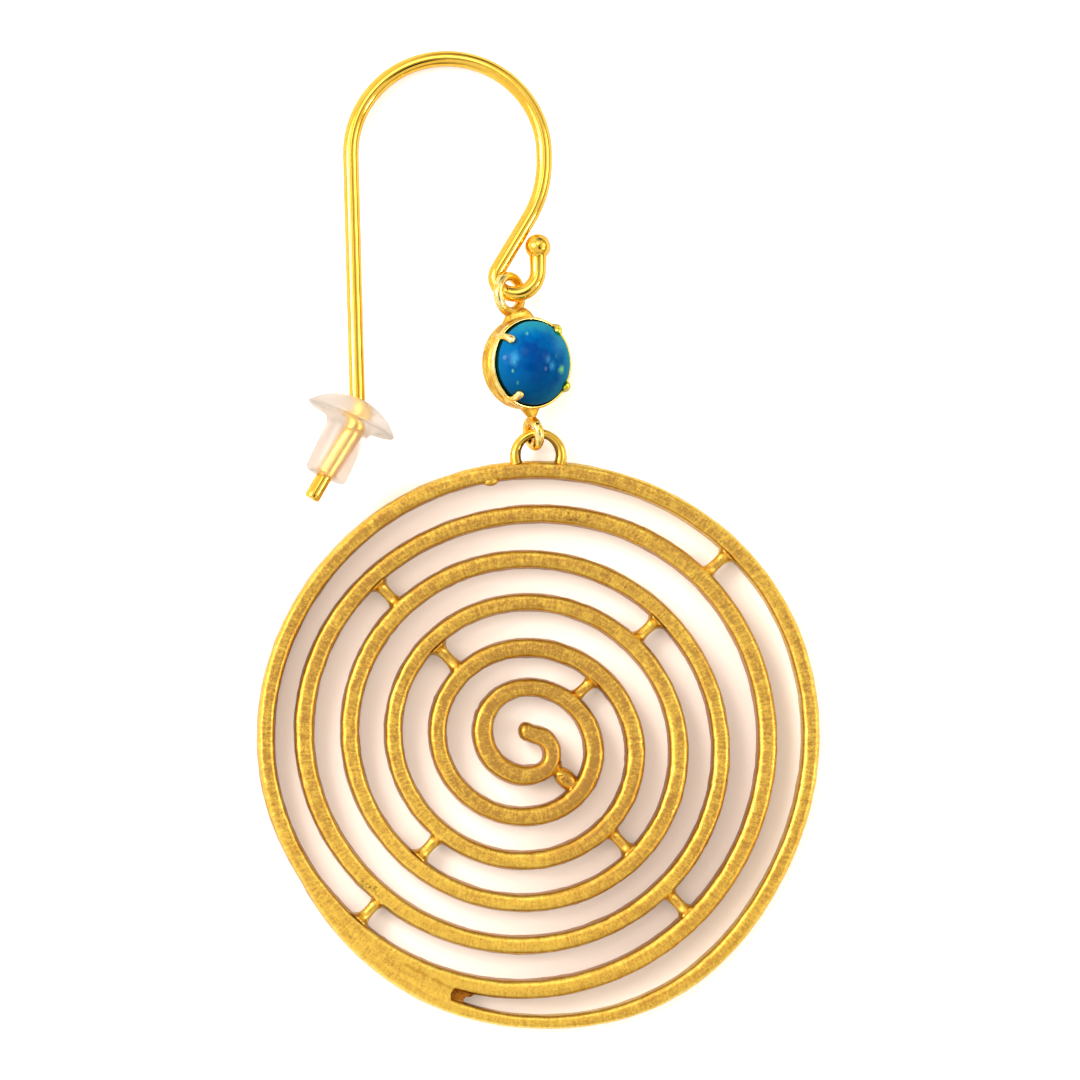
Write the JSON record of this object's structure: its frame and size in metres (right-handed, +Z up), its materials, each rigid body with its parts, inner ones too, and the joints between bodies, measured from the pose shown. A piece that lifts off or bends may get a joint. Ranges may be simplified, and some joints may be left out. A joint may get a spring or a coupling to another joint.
{
  "type": "spiral dangle earring",
  "caption": "Ear-wire earring lying flat: a bent hook with a soft stopper links through a claw-set round stone to an open spiral disc with a bail.",
  "frame": {"origin": "middle of the footprint on the surface that the earring lies on", "axes": "+Z up from the surface, +Y along the earring towards the arch of its ear wire, +X to the side of the ball end of the ear wire's loop"},
  "size_m": [0.0301, 0.0522, 0.0049],
  "materials": {
    "polished_gold": "polished",
    "satin_gold": "satin, finely brushed",
    "blue_stone": "polished",
    "clear_silicone": "clear and soft"
  },
  "bodies": {
    "root": {"ear_hook": "polished_gold", "ear_stopper": "clear_silicone", "stone_setting": "polished_gold", "cabochon": "blue_stone", "spiral_drop": "satin_gold"}
  },
  "joints": []
}
